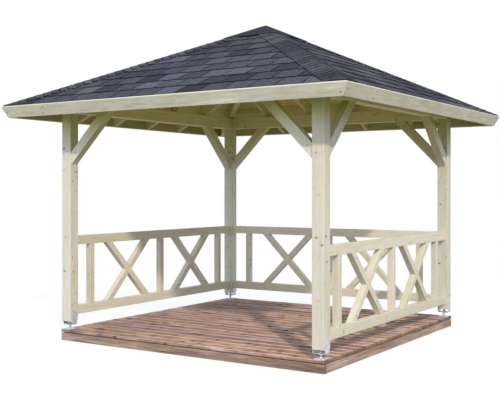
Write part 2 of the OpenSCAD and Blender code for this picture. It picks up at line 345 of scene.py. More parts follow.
def roof_boarding_material():
    """The yellowest timber, with strong rings, on the underside of the roof. Its yellow-olive is partly
    the boards' own colour and partly painted shade.
    """
    palette = [(0.0, srgb(203, 196, 108)), (0.4, srgb(232, 225, 135)), (0.6, srgb(239, 232, 145)),
               (1.0, srgb(248, 243, 172))]
    tints = [(0.36, (0.43, 0.54, 0.40, 1)), (0.5, grey(0.5)), (0.64, (0.57, 0.5, 0.44, 1))]
    tones = [(0.0, srgb(220, 216, 204)), (0.5, srgb(244, 242, 238)), (1.0, srgb(255, 255, 255))]
    knot = (srgb(94, 74, 42), srgb(188, 164, 98), 14.0, 0.15, 0.4)
    return wood("roof_boarding", palette, tints, tones, (srgb(190, 170, 96), 0.4), knot, (1.6, 50.0, 1.7))


def deck_material():
    """Weathered reddish-brown decking, its boards set well apart in tone."""
    palette = [(0.0, srgb(88, 72, 72)), (0.25, srgb(136, 113, 107)), (0.45, srgb(166, 142, 133)),
               (0.6, srgb(184, 162, 155)), (0.78, srgb(208, 191, 189)), (1.0, srgb(238, 228, 234))]
    tints = [(0.32, (0.38, 0.43, 0.60, 1)), (0.44, (0.56, 0.48, 0.50, 1)), (0.56, (0.5, 0.52, 0.40, 1)),
             (0.66, (0.70, 0.50, 0.30, 1))]
    tones = [(0.0, srgb(200, 194, 206)), (0.25, srgb(236, 226, 224)), (0.5, srgb(255, 246, 238)),
             (0.75, srgb(244, 230, 210)), (1.0, srgb(246, 244, 255))]
    knot = (srgb(46, 28, 26), srgb(112, 74, 58), 10.0, 0.27, 0.55)
    return wood("deck_wood", palette, tints, tones, (srgb(108, 84, 78), 0.25), knot, (3.6, 25.0, 2.4))


def rim_material():
    """The same wood as the deck, smooth and more weathered: greyer, with ochre patches."""
    palette = [(0.0, srgb(92, 76, 70)), (0.3, srgb(138, 119, 110)), (0.6, srgb(166, 147, 138)),
               (1.0, srgb(210, 194, 188))]
    tints = [(0.30, (0.42, 0.46, 0.54, 1)), (0.5, (0.52, 0.49, 0.49, 1)), (0.60, (0.54, 0.53, 0.38, 1)),
             (0.70, (0.84, 0.54, 0.12, 1))]
    tones = [(0.0, srgb(236, 232, 228)), (1.0, srgb(255, 253, 250))]
    knot = (srgb(40, 30, 26), srgb(120, 92, 72), 9.0, 0.10, 0.15)
    return wood("deck_rim_wood", palette, tints, tones, (srgb(112, 92, 82), 0.3), knot, (3.0, 44.0, 2.8))


def shingle_material():
    """Bitumen with mineral granules: a tone for each tab, speckle, weathering and black cut edges. The
    black is partly painted shade: the dark lines under rows and cap edges, and the band under each hip
    cap's butt.
    """
    t = material_tree("shingle")
    place = t.attribute("grain", "Vector")
    base = t.ramp(t.attribute("tone"), [
        (0.0, srgb(48, 50, 61)), (0.3, srgb(63, 66, 79)), (0.5, srgb(70, 73, 86)),
        (0.62, srgb(74, 76, 88)), (0.8, srgb(81, 84, 97)), (1.0, srgb(92, 95, 108)),
    ])
    grains = t.add("TexVoronoi", {"Vector": place, "Scale": 420.0})
    speck = t.add("SeparateColor", {0: grains.outputs["Color"]})
    shade = t.ramp(speck.outputs[0], [(0.0, grey(0.25)), (0.35, grey(0.45)), (0.7, grey(0.56)),
                                      (1.0, grey(0.88))])
    granules = t.mix(0.9, base, shade, "SOFT_LIGHT")
    clumps = t.noise(place, 90.0, 3.0, 0.7)
    mottle = t.noise(place, 12.0, 4.0, 0.6)
    clumped = t.mix(0.9, granules, t.ramp(clumps, [(0.34, grey(0.12)), (0.66, grey(0.92))]), "SOFT_LIGHT")
    mottled = t.mix(0.4, clumped, t.ramp(mottle, [(0.3, grey(0.3)), (0.7, grey(0.7))]), "SOFT_LIGHT")
    # Faces flagged end are near black: the bitumen cut edges, which also paint the shade lines under rows
    # and caps, and the painted shade band of the hip caps.
    colour = t.mix(t.attribute("end"), mottled, srgb(28, 29, 35))
    height = t.math("ADD", grains.outputs["Distance"], t.math("MULTIPLY", mottle, 0.6))
    t.shader.inputs["Specular IOR Level"].default_value = 0.05
    return t.finish(colour, t.step(speck.outputs[1], 0.0, 1.0, 0.82, 0.96), t.bump(height, 0.0012))


def felt_material():
    """The underlay, which shows in the slots between the tabs; its near black stands in for the shaded tab
    below: painted shade.
    """
    t = material_tree("slot_shade_felt")
    place = t.add("TexCoord", {}).outputs["Object"]
    speckle = t.noise(place, 300.0, 3.0)
    colour = t.ramp(speckle, [(0.3, srgb(14, 14, 17)), (0.7, srgb(30, 30, 35))])
    return t.finish(colour, t.step(speckle, 0.3, 0.7, 0.8, 0.95), t.bump(speckle, 0.0008))


def steel_material():
    """Galvanised steel: spangle in several greys and dull patches."""
    t = material_tree("galvanised_steel")
    place = t.add("TexCoord", {}).outputs["Object"]
    spangle = t.add("TexVoronoi", {"Vector": place, "Scale": 130.0})
    draw = t.add("SeparateColor", {0: spangle.outputs["Color"]})
    dull = t.noise(place, 26.0, 4.0, 0.6)
    base = t.ramp(draw.outputs[0], [(0.0, srgb(184, 189, 204)), (0.5, srgb(208, 213, 227)),
                                    (1.0, srgb(234, 238, 250))])
    colour = t.mix(t.step(dull, 0.5, 0.75, 0.0, 0.5), base, srgb(172, 178, 186))
    t.shader.inputs["Metallic"].default_value = 0.5
    roughness = t.math("ADD", t.step(draw.outputs[1], 0.0, 1.0, 0.34, 0.5), t.math("MULTIPLY", dull, 0.12))
    relief = t.math("ADD", t.math("MULTIPLY", draw.outputs[2], 0.4), dull)
    return t.finish(colour, roughness, t.bump(relief, 0.0003))


def screw_material():
    """Darker plated steel for screw heads, mottled with dirt."""
    t = material_tree("screw_steel")
    place = t.add("TexCoord", {}).outputs["Object"]
    dirt = t.noise(place, 900.0, 3.0)
    colour = t.ramp(dirt, [(0.35, srgb(50, 44, 36)), (0.65, srgb(108, 100, 84))])
    t.shader.inputs["Metallic"].default_value = 0.6
    return t.finish(colour, t.step(dirt, 0.3, 0.7, 0.45, 0.7), t.bump(dirt, 0.0002))


# ---- pieces ------------------------------------------------------------------------

class Piece:
    """One mesh made of closed shapes, each with its own grain coordinates and tone."""

    def __init__(self, name, seed):
        self.name = name
        self.rng = random.Random(seed)
        self.bm = bmesh.new()
        self.grain = self.bm.verts.layers.float_vector.new("grain")
        self.tone = self.bm.verts.layers.float.new("tone")
        self.end = self.bm.faces.layers.float.new("end")
        self.arris = self.bm.faces.layers.float.new("arris")

    def add(self, points, faces, grain, tone, ends=(), smooth=()):
        """Adds one shape. ends and smooth are the numbers of its cut and its rounded faces; the wood
        materials paint the rounded faces lighter, a painted highlight.
        """
        corners = []
        for point in points:
            corner = self.bm.verts.new(point)
            corner[self.grain] = grain(point)
            corner[self.tone] = tone
            corners.append(corner)
        for number, face in enumerate(faces):
            made = self.bm.faces.new([corners[i] for i in face])
            made[self.end] = 1.0 if number in ends else 0.0
            made[self.arris] = 1.0 if number in smooth else 0.0
            made.smooth = number in smooth

    def finish(self, material, slot, *nodes):
        mesh = bpy.data.meshes.new(self.name)
        self.bm.to_mesh(mesh)
        self.bm.free()
        mesh.materials.append(material)
        piece = bpy.data.objects.new(self.name, mesh)
        bpy.context.scene.collection.objects.link(piece)
        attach(piece, "root")
        if nodes:
            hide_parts(*nodes)
        return piece


def skin(rows, count):
    """Faces of a tube: rows of count points, each a closed ring, with both ends closed."""
    faces = []
    for row in range(rows - 1):
        a, b = row * count, (row + 1) * count
        for i in range(count):
            j = (i + 1) % count
            faces.append([a + i, a + j, b + j, b + i])
    faces.append(list(range(count - 1, -1, -1)))
    faces.append(list(range((rows - 1) * count, rows * count)))
    return faces


def prism(outline, start, end, place):
    """Points and faces of an outline swept from start to end. place(along, a, b) is a point."""
    points = [place(along, a, b) for along in (start, end) for a, b in outline]
    return points, skin(2, len(outline))


def pith_shift(rng, across, near, far):
    """Where a piece lies in its tree: along the wood, beside the pith, and near to far from it."""
    return Vector((rng.uniform(0, WOOD_RUN), rng.uniform(-across, across),
                   rng.choice((-1, 1)) * rng.uniform(near, far)))


def grain_frame(axis, up, centre, shift):
    """A function from a place to its grain coordinates, along axis and across it."""
    side = axis.cross(up).normalized()
    top = side.cross(axis).normalized()

    def coordinates(place):
        away = Vector(place) - centre
        return Vector((away.dot(axis), away.dot(side), away.dot(top))) + shift
    return coordinates


def cad_mesh(node):
    """The mesh of a CAD node, with its corners welded."""
    bm = bmesh.new()
    bm.from_mesh(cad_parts[node].data)
    bmesh.ops.remove_doubles(bm, verts=bm.verts, dist=WELD)
    return bm


def islands(bm):
    """The separate solids of a mesh, each as a list of its vertices."""
    left = set(bm.verts)
    found = []
    while left:
        todo = [next(iter(left))]
        solid = []
        left.discard(todo[0])
        while todo:
            vertex = todo.pop()
            solid.append(vertex)
            for edge in vertex.link_edges:
                other = edge.other_vert(vertex)
                if other in left:
                    left.discard(other)
                    todo.append(other)
        found.append(solid)
    found.sort(key=lambda solid: tuple(round(x, 4) for x in min(v.co[:] for v in solid)))
    return found


def main_axis(edges):
    """The direction that most of the edges' length runs in."""
    totals = []
    for edge in edges:
        run = edge.verts[1].co - edge.verts[0].co
        length = run.length
        run.normalize()
        for total in totals:
            if abs(total[1].dot(run)) > 0.999:
                total[0] += length
                break
        else:
            totals.append([length, run])
    return max(totals, key=lambda total: round(total[0], 4))[1].copy()


def solid_copy(solid):
    """One solid as a mesh of its own."""
    part = bmesh.new()
    copies = {vertex: part.verts.new(vertex.co) for vertex in solid}
    for face in {face for vertex in solid for face in vertex.link_faces}:
        part.faces.new([copies[vertex] for vertex in face.verts])
    bmesh.ops.recalc_face_normals(part, faces=part.faces)
    return part


def add_member(piece, solid, arris, pith):
    """Adds a bevelled copy of one CAD solid with its grain along its longest edges."""
    part = solid_copy(solid)
    axis = main_axis(part.edges)
    if axis.dot(Vector((1, 1, 1))) < 0:
        axis.negate()
    up = Z if abs(axis.dot(Z)) < 0.9 else Vector((0, 1, 0))
    rounded = bmesh.ops.bevel(part, geom=part.edges[:], offset=arris, offset_type="OFFSET",
                              segments=2, profile=0.5, affect="EDGES", clamp_overlap=True)["faces"]
    part.verts.index_update()
    part.faces.index_update()
    places = [v.co.copy() for v in part.verts]
    centre = sum(places, Vector()) / len(places)
    shift = pith_shift(piece.rng, pith, 0.6 * pith, pith)
    faces = [[v.index for v in face.verts] for face in part.faces]
    ends = {face.index for face in part.faces if abs(face.normal.dot(axis)) > 0.6}
    # The bevel faces are shaded smooth and take the painted highlight.
    smooth = {face.index for face in rounded if face.is_valid}
    grain = grain_frame(axis, up, centre, shift)
    piece.add(places, faces, grain, piece.rng.random(), ends, smooth)
    part.free()


def members(nodes, arris, material, slot, pith=0.03):
    """Pieces that stand for CAD nodes, made of bevelled copies of their solids."""
    for node in nodes:
        bm = cad_mesh(node)
        bmesh.ops.dissolve_limit(bm, angle_limit=math.radians(0.5), verts=bm.verts, edges=bm.edges)
        piece = Piece(node + "_timber", node)
        for solid in islands(bm):
            add_member(piece, solid, arris, pith)
        bm.free()
        piece.finish(material, slot, node)


# ---- deck --------------------------------------------------------------------------

def board_outline(width, thickness):
    """Cross-section of a ribbed deck board, centred, its top at 0: anticlockwise from x to z."""
    half = width / 2
    arris = BOARD_ARRIS
    points = [(-half, -thickness + arris), (-half + arris, -thickness), (half - arris, -thickness),
              (half, -thickness + arris), (half, -arris), (half - arris * 0.3, -arris * 0.3),
              (half - arris, 0)]
    pitch = (width - 6 * arris) / DECK_GROOVES
    for groove in range(DECK_GROOVES):
        middle = half - 3 * arris - (groove + 0.5) * pitch
        points += [(middle + pitch * 0.3, 0), (middle + pitch * 0.15, -DECK_GROOVE_DEPTH),
                   (middle - pitch * 0.15, -DECK_GROOVE_DEPTH), (middle - pitch * 0.3, 0)]
    points += [(-half + arris, 0), (-half + arris * 0.3, -arris * 0.3), (-half, -arris)]
    return points


def deck(material):
    """Ribbed boards that run from left to right. Returns the distance from board to board."""
    low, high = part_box("deck_boards")
    piece = Piece("deck_planks", "deck")
    rng = piece.rng
    pitch = (high.y - low.y + DECK_GAP) / DECK_BOARDS
    thickness = high.z - low.z
    outline = board_outline(pitch - DECK_GAP, thickness)
    count = len(outline)
    # The rounded edges along the top, each with the flat strip beside it, which the wood paints lighter: a
    # painted highlight.
    painted_highlight_strips = {4, 5, 6, count - 4, count - 3, count - 2}
    for number in range(DECK_BOARDS):
        middle = low.y + (number + 0.5) * pitch - DECK_GAP / 2
        ends = [low.x + rng.uniform(0, 0.002), high.x - rng.uniform(0, 0.002)]
        points, faces = prism(outline, *ends, lambda x, a, b: Vector((x, middle + a, high.z + b)))
        shift = pith_shift(rng, 0.03, 0.03, 0.09)
        grain = grain_frame(Vector((1, 0, 0)), Z, Vector((0, middle, high.z)), shift)
        piece.add(points, faces, grain, rng.random(), {count, count + 1}, painted_highlight_strips)
    piece.finish(material, "deck_wood", "deck_boards")
    return pitch


# ---- roof --------------------------------------------------------------------------

def roof_slope():
    """Height of the roof's top, its pitch and the slope length to the end of the shingles."""
    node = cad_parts["front_shingles"]
    largest = max(node.data.polygons, key=lambda face: face.area)
    pitch = math.acos(min(1.0, abs(largest.normal.z)))
    low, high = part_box("front_shingles")
    return high.z, pitch, -low.y / math.cos(pitch)


TOP_Z, PITCH, EAVE_S = roof_slope()
COS, SIN = math.cos(PITCH), math.sin(PITCH)
HIP_RUN = math.hypot(1, COS)
OUT = Vector((0, -SIN, COS))
DOWN = Vector((0, -COS, -SIN))


def slope_span(node, direction):
    """Least and greatest distance of a front roof node from the roof's top, along a direction."""
    top = Vector((0, 0, TOP_Z))
    spans = [(v.co - top).dot(direction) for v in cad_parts[node].data.vertices]
    return min(spans), max(spans)


def mitre(s, h):
    """Half the width of a slope at slope distance s and height h, where two slopes meet."""
    return s * COS + h * SIN


def slope_point(side, x, s, h):
    """A point on a side of the roof: x along the eaves, s down from the top, h out of the slope."""
    point = Vector((x, -mitre(s, h), TOP_Z - s * SIN + h * COS))
    return Matrix.Rotation(SIDES.index(side) * math.pi / 2, 3, "Z") @ point


def slope_grain(side, rng, across):
    """Axis, up and shift of grain that runs along the eaves of a side."""
    turn = Matrix.Rotation(SIDES.index(side) * math.pi / 2, 3, "Z")
    shift = Vector((rng.uniform(0, WOOD_RUN), rng.uniform(-across, across), rng.uniform(0.02, 0.07)))
    return turn @ Vector((1, 0, 0)), turn @ OUT, shift


def roof_boards(side, material):
    """Tongue-and-groove boards along the eaves, grooved where they meet on the underside."""
    node = side + "_roof_boards"
    bottom, top = slope_span("front_roof_boards", OUT)
    pitch = EAVE_S / ROOF_BOARDS
    groove = ROOF_BOARD_GROOVE
    piece = Piece(node + "_planks", node)

    def place(end, s, h):
        return slope_point(side, end * (mitre(s, h) - ROOF_BOARD_MITRE_GAP), s, h)

    for number in range(ROOF_BOARDS):
        s0 = number * pitch if number else 0.03
        s1 = (number + 1) * pitch
        outline = [(s0, top), (s0, bottom + groove), (s0 + groove, bottom), (s1 - groove, bottom),
                   (s1, bottom + groove), (s1, top)]
        points, faces = prism(outline, -1, 1, place)
        axis, up, shift = slope_grain(side, piece.rng, 0.04)
        centre = slope_point(side, 0, (s0 + s1) / 2, top)
        piece.add(points, faces, grain_frame(axis, up, centre, shift), piece.rng.random(),
                  {len(faces) - 1, len(faces) - 2})
    piece.finish(material, "roof_boarding", node)


def tab_tone(rng):
    """Most tabs are near the middle tone; a few are dark or light."""
    draw = rng.random()
    if draw < 0.18:
        return rng.uniform(0.0, 0.2)
    if draw > 0.88:
        return rng.uniform(0.82, 1.0)
    return rng.uniform(0.22, 0.76)


def add_tab(piece, side, x0, x1, butt, head, tone):
    """One shingle tab: its butt stands SHINGLE_STEP proud, and its head lies under the next row."""
    lift = piece.rng.uniform(-0.0014, 0.0010)
    skew = piece.rng.uniform(-0.004, 0.004)
    rows = [(butt, -SHINGLE_STEP, skew), (butt, lift - TAB_ARRIS, skew),
            (butt - TAB_ARRIS, lift - TAB_ARRIS * SHINGLE_STEP / SHINGLE_EXPOSURE, skew),
            (head, -SHINGLE_STEP - 0.001, 0.0), (head, -SHINGLE_STEP - 0.0018, 0.0)]
    left, right = [], []
    for s, h, tilt in rows:
        for edge, x, sign in ((left, x0, -1), (right, x1, 1)):
            limit = mitre(s, h) - 0.001
            edge.append((max(-limit, min(limit, x)), min(s + sign * tilt / 2, EAVE_S), h))
    points = [slope_point(side, *place) for place in left + right]
    count = len(rows)
    faces = [[i, i + count, (i + 1) % count + count, (i + 1) % count] for i in range(count)]
    faces.append(list(range(count)))
    faces.append(list(range(2 * count - 1, count - 1, -1)))
    shift = Vector([piece.rng.uniform(0, 20) for _ in range(3)])
    # The butt and sides take the near-black cut-edge colour, which also paints the shade line under each
    # row.
    butt_and_sides = {0, count, count + 1}
    piece.add(points, faces, lambda p: Vector(p) + shift, tone, butt_and_sides)


def shingles(side, material, slot_shade_felt):
    """Rows of square-cut tabs from the eaves up, each row half a tab along from the last."""
    piece = Piece(side + "_shingle_tabs", side + "shingles")
    rng = piece.rng
    for row in range(SHINGLE_ROWS + 1):
        butt = EAVE_S - row * SHINGLE_EXPOSURE
        head = max(0.12, butt - SHINGLE_EXPOSURE - SHINGLE_LAP)
        wide = mitre(butt, 0)
        offset = (0.5 if row % 2 else 0.0) * SHINGLE_TAB + rng.uniform(-0.012, 0.012)
        first = math.floor((-wide - offset) / SHINGLE_TAB)
        last = math.ceil((wide - offset) / SHINGLE_TAB)
        for number in range(first, last):
            x0 = number * SHINGLE_TAB + offset + SHINGLE_SLOT / 2
            x1 = x0 + SHINGLE_TAB - SHINGLE_SLOT
            if min(x1, wide) - max(x0, -wide) > 0.02:
                add_tab(piece, side, x0, x1, butt, head, tab_tone(rng))
    piece.finish(material, "shingle", side + "_shingles")
    underlay(side, slot_shade_felt)


def underlay(side, slot_shade_felt):
    """The sheet under the tabs, which shows in their slots as painted shade."""
    piece = Piece(side + "_underlay", side)
    top = -SHINGLE_STEP - 0.0005
    low = slope_span("front_shingles", OUT)[0] + 0.0001
    outline = [(0.02, top), (0.02, low), (EAVE_S - 0.003, low), (EAVE_S - 0.003, top)]
    points, faces = prism(outline, -1, 1, lambda end, s, h: slope_point(side, end * mitre(s, h), s, h))
    piece.add(points, faces, Vector, 0.0)
    piece.finish(slot_shade_felt, "shingle")


def hip_point(corner, across, u, h):
    """A point on the hip cap of a corner: u down the hip, across it to either slope, h out.

    A point that would lie past the eaves is drawn back along the hip to their line.
    """
    w = abs(across)
    u = min(u, EAVE_S * HIP_RUN - w * COS)
    s = (u + w * COS) / HIP_RUN
    x = (u * COS - w) / HIP_RUN + h * SIN
    if across <= 0:
        return slope_point(SIDES[corner], x, s, h)
    return slope_point(SIDES[(corner + 1) % 4], -x, s, h)


def add_hip_cap(piece, corner, butt):
    """One folded cap, highest at its butt, with a band of painted shade where it dips under the next one.
    """
    fold, width = HIP_CAP_FOLD, HIP_CAP_WIDTH
    spread = [-width, -width * 0.62, -fold, -fold * 0.5, 0.0, fold * 0.5, fold, width * 0.62, width]
    # The sheet rounds off below the sharp ridge that its two halves would make.
    drop = {0.0: 0.0022, fold * 0.5: 0.0007}
    length = HIP_CAP_EXPOSURE + HIP_CAP_LAP
    skew = piece.rng.uniform(-0.004, 0.004)
    points = []
    for along in (0.0, HIP_CAP_EXPOSURE - HIP_CAP_SHADE_BAND, length):
        rise = HIP_CAP_BUTT + (HIP_CAP_HEAD - HIP_CAP_BUTT) * along / length
        for under in (0.0, HIP_CAP_T):
            for across in spread:
                h = rise - under - drop.get(abs(across), 0.0)
                if abs(across) == width:
                    h = -SHINGLE_STEP if under else HIP_CAP_SIDE
                points.append(hip_point(corner, across, butt - along + skew * across / width, h))
    n = len(spread)
    # The faces from the band to the head are flagged as ends: a near-black band of painted shade below the
    # next cap's butt.
    faces, dark = [], []
    for row in (0, 2 * n):
        for i in range(row, row + n - 1):
            if row:
                dark.append(len(faces))
            faces.append([i, i + 1, i + 1 + 2 * n, i + 2 * n])
            faces.append([i + n, i + 3 * n, i + 1 + 3 * n, i + 1 + n])
        if row:
            dark += [len(faces), len(faces) + 1]
        faces.append([row, row + 2 * n, row + 3 * n, row + n])
        faces.append([row + n - 1, row + 2 * n - 1, row + 4 * n - 1, row + 3 * n - 1])
    for i in range(n - 1):
        faces.append([i, i + n, i + 1 + n, i + 1])
        faces.append([i + 4 * n, i + 1 + 4 * n, i + 1 + 5 * n, i + 5 * n])
    shift = Vector([piece.rng.uniform(0, 20) for _ in range(3)])
    piece.add(points, faces, lambda p: Vector(p) + shift, piece.rng.uniform(0.15, 0.95), dark)


def hip_caps(material):
    """Folded shingle caps up the four hips, from the eaves to under the top cap."""
    piece = Piece("hip_cap_shingles", "hips")
    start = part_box("top_cap")[1].x * 0.7 * HIP_RUN / COS
    for corner in range(4):
        butt = EAVE_S * HIP_RUN
        while butt > start:
            add_hip_cap(piece, corner, butt)
            butt -= HIP_CAP_EXPOSURE
    piece.finish(material, "shingle", "hip_caps")


def top_cap(material):
    """A square sheet folded over the top of the roof, with its edges turned down."""
    edge_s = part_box("top_cap")[1].x / COS
    high = TOP_CAP_H
    rows = [(0.0, high - 0.0016), (0.03, high), (edge_s - 0.006, high), (edge_s, high - 0.0015),
            (edge_s + 0.0015, 0.001)]
    shares = [(-1, 0.0018), (-0.96, 0.0), (0, 0.0), (0.96, 0.0), (1, 0.0018)]
    count = len(shares)
    piece = Piece("top_cap_sheet", "top")
    shift = Vector((3.0, 5.0, 7.0))
    for side in SIDES:
        points = []
        for s, h in rows:
            lowest = h == rows[-1][1]
            for share, drop in shares:
                fold = 0.0 if lowest else drop
                points.append(slope_point(side, mitre(s, h - fold) * share, s, h - fold))
        faces = []
        for row in range(len(rows) - 1):
            for k in range(row * count, row * count + count - 1):
                faces.append([k, k + count, k + count + 1, k + 1])
        # The turned-down edges take the near-black cut-edge colour, which also paints the shade line under
        # the cap.
        turned_down = set(range(len(faces) - count + 1, len(faces)))
        piece.add(points, faces, lambda p: Vector(p) + shift, 0.02, turned_down)
    bmesh.ops.remove_doubles(piece.bm, verts=piece.bm.verts, dist=WELD)
    rim = [edge for edge in piece.bm.edges if edge.is_boundary]
    bmesh.ops.holes_fill(piece.bm, edges=rim, sides=len(rim))
    bmesh.ops.recalc_face_normals(piece.bm, faces=piece.bm.faces)
    piece.finish(material, "shingle", "top_cap")


# ---- steel feet and screws -----------------------------------------------------------

def lathe(profile, sides, place, turn=0.0):
    """Points and faces of a profile of (radius, height) turned round Z at place."""
    points, faces = [], []
    for radius, height in profile:
        for i in range(sides):
            angle = turn + 2 * math.pi * i / sides
            points.append(place + Vector((radius * math.cos(angle), radius * math.sin(angle), height)))
    return points, skin(len(profile), sides)


def add_steel(piece, points, faces):
    piece.add(points, faces, Vector, 0.5)


def add_thread(piece, place, height):
    """A threaded rod: its radius follows a helix."""
    rows = int(height / THREAD_PITCH * 4)
    points = []
    for row in range(rows + 1):
        z = height * row / rows
        for i in range(ROD_SIDES):
            turn = i / ROD_SIDES
            wave = abs(((z / THREAD_PITCH - turn) % 1.0) * 2 - 1)
            radius = ROD_RADIUS - THREAD_DEPTH * wave
            angle = 2 * math.pi * turn
            points.append(place + Vector((radius * math.cos(angle), radius * math.sin(angle), z)))
    add_steel(piece, points, skin(rows + 1, ROD_SIDES))


def add_plate(piece, place, side, thickness, radius):
    """A square plate with round corners and a small chamfer on top."""
    chamfer = 0.001
    outline = []
    for corner in range(4):
        for step in range(5):
            angle = math.pi / 2 * (corner + step / 4)
            quarter = math.pi / 2 * corner + math.pi / 4
            centre = (side / 2 - radius) * math.sqrt(2)
            outline.append((centre * math.cos(quarter) + radius * math.cos(angle),
                            centre * math.sin(quarter) + radius * math.sin(angle)))
    points = []
    for z, inset in ((0.0, 0.0), (thickness - chamfer, 0.0), (thickness, chamfer)):
        share = 1 - 2 * inset / side
        points += [place + Vector((x * share, y * share, z)) for x, y in outline]
    add_steel(piece, points, skin(3, len(outline)))


def u_path(half, low, top, bend):
    """Centre line of the U bracket in x and z, from one cheek's top to the other's."""
    path = [(-half, top), (-half, low + bend)]
    for step in range(1, 7):
        angle = math.pi + math.pi / 2 * step / 6
        path.append((-half + bend + bend * math.cos(angle), low + bend + bend * math.sin(angle)))
    return path + [(-x, z) for x, z in reversed(path)]


def add_bracket(piece, place, half, low, top, width, thickness):
    """A strip of steel bent to a U that clasps the post on its left and right faces."""
    path = u_path(half, low, top, STRAP_BEND)
    chamfer = 0.0008
    t, w = thickness / 2, width / 2
    section = [(-t, -w + chamfer), (-t + chamfer, -w), (t - chamfer, -w), (t, -w + chamfer),
               (t, w - chamfer), (t - chamfer, w), (-t + chamfer, w), (-t, w - chamfer)]
    points = []
    for i, (x, z) in enumerate(path):
        before, after = path[max(0, i - 1)], path[min(len(path) - 1, i + 1)]
        run = Vector((after[0] - before[0], 0, after[1] - before[1])).normalized()
        out = Vector((run.z, 0, -run.x))
        for a, b in section:
            points.append(place + Vector((x, 0, z)) + out * a + Vector((0, b, 0)))
    add_steel(piece, points, skin(len(path), len(section)))


def add_head(piece, place, normal, radius, sides, height):
    """A screw head with a recess for the driver. Its height is a share of its radius."""
    profile = [(0.30, -0.25), (0.38, 0.75), (0.72, 1.0), (0.92, 0.75), (1.0, 0.0), (1.0, -0.6)]
    scaled = [(r * radius, h * radius * height) for r, h in reversed(profile)]
    points, faces = lathe(scaled, sides, Vector())
    turn = normal.to_track_quat("Z", "X").to_matrix()
    add_steel(piece, [place + turn @ p for p in points], faces)


def add_foot(piece, name, deck_z, strap_out, strap_top):
    """The foot under the post called name. strap_out and strap_top are its bracket's reach and top."""
    low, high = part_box(name)
    middle = Vector(((low.x + high.x) / 2, (low.y + high.y) / 2, deck_z))
    on_plate = middle + Vector((0, 0, PLATE_T))
    half = strap_out - abs(middle.x)
    steel = half - (high.x - low.x) / 2
    gap = low.z - deck_z
    strap_low = gap - NUT_ROOM - steel
    add_plate(piece, middle, PLATE_SIDE, PLATE_T, PLATE_CORNER)
    add_thread(piece, on_plate, gap - ROD_SHORT_OF_POST)
    weld = [(0.0165, 0.0), (0.0135, 0.0035), (0.0095, 0.006)]
    add_steel(piece, *lathe(weld, ROD_SIDES, on_plate))
    nut = [(0.0160, 0.0), (0.0185, 0.0018), (0.0185, 0.0132), (0.0160, NUT_H)]
    for z in (strap_low - NUT_H, strap_low + steel):
        add_steel(piece, *lathe(nut, 6, middle + Vector((0, 0, z)), 0.3))
    add_bracket(piece, middle, half - steel / 2, strap_low + steel / 2, strap_top - deck_z,
                STRAP_WIDTH, steel)
    for sx in (-1, 1):
        for sy in (-1, 1):
            spot = middle + Vector((sx * PLATE_SCREW, sy * PLATE_SCREW, PLATE_T))
            add_head(piece, spot, Z, 0.007, 12, 0.5)
            for drop in STRAP_SCREW_DROPS:
                spot = middle + Vector((sx * half, sy * STRAP_SCREW, strap_top - deck_z - drop))
                add_head(piece, spot, Vector((sx, 0, 0)), 0.0065, 6, 0.6)


def feet(material):
    """Four adjustable feet: plate, weld, threaded rod, nuts and U bracket with screws."""
    deck_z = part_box("deck_boards")[1].z
    piece = Piece("adjustable_feet", "feet")
    strap_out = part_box("post_feet")[1].x
    strap_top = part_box("post_feet")[1].z
    for name in ("front_left_post", "front_right_post", "back_left_post", "back_right_post"):
        add_foot(piece, name, deck_z, strap_out, strap_top)
    piece.finish(material, "galvanised_steel", "post_feet")


def deck_screws(material, pitch):
    """Two screws through each deck board into each joist and end rim."""
    low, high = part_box("deck_boards")
    piece = Piece("deck_screws", "deckscrews")
    bm = cad_mesh("deck_joist_set")
    lines = [sum(v.co.x for v in solid) / len(solid) for solid in islands(bm)]
    bm.free()
    rim_low, rim_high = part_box("deck_end_rims")
    lines += [rim_low.x + END_RIM_SCREW_INSET, rim_high.x - END_RIM_SCREW_INSET]
    for number in range(DECK_BOARDS):
        middle = low.y + (number + 0.5) * pitch - DECK_GAP / 2
        for x in lines:
            for s in (-1, 1):
                drift = piece.rng.uniform(-0.004, 0.004)
                place = Vector((x + drift, middle + s * pitch * 0.29, high.z))
                add_head(piece, place, Z, 0.0045, 8, 0.12)
    piece.finish(material, "galvanised_steel")


def cad_solids(node):
    """The solids of a CAD node, each as its points and its main axis."""
    bm = cad_mesh(node)
    solids = []
    for solid in islands(bm):
        edges = {edge for vertex in solid for edge in vertex.link_edges}
        axis = main_axis(sorted(edges, key=lambda edge: edge.index))
        solids.append(([v.co.copy() for v in solid], axis))
    bm.free()
    return solids


def box_centre(points):
    low, high = (Vector([pick(p[i] for p in points) for i in range(3)]) for pick in (min, max))
    return (low + high) / 2


def slanted_screws(piece, node):
    """A screw near each end of a node's slanted members, on their inner and outer faces."""
    for points, axis in cad_solids(node):
        out = Vector((axis.y, -axis.x, 0)).normalized()
        middle = box_centre(points)
        reach = max(abs((p - middle).dot(axis)) for p in points)
        ends = [p for p in points if abs((p - middle).dot(axis)) > reach / 2]
        centre = sum(ends, Vector()) / len(ends)
        run = sum(abs((p - centre).dot(axis)) for p in ends) / len(ends) - SCREW_INSET
        depth = max(abs((p - centre).dot(out)) for p in ends)
        for along in (-run, run):
            for facing in (-1, 1):
                spot = centre + axis * along + out * facing * depth
                add_head(piece, spot, out * facing, 0.0060, 10, 0.3)


def fascia_screws(piece):
    """A screw near each end of the fascias, and a pair farther in from their left ends."""
    face = slope_span("front_fascia", DOWN)[1]
    low, high = slope_span("front_fascia", OUT)
    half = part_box("front_fascia")[1].x
    spots = [(FASCIA_PAIR - half, 0.77), (FASCIA_PAIR - 0.02 - half, 0.27),
             (FASCIA_END - half, 0.5), (half - FASCIA_END, 0.3)]
    for side in SIDES:
        outward = slope_point(side, 0, 1, 0) - slope_point(side, 0, 0, 0)
        for x, share in spots:
            spot = slope_point(side, x, face, low + (high - low) * share)
            add_head(piece, spot, outward, 0.0070, 10, 0.3)


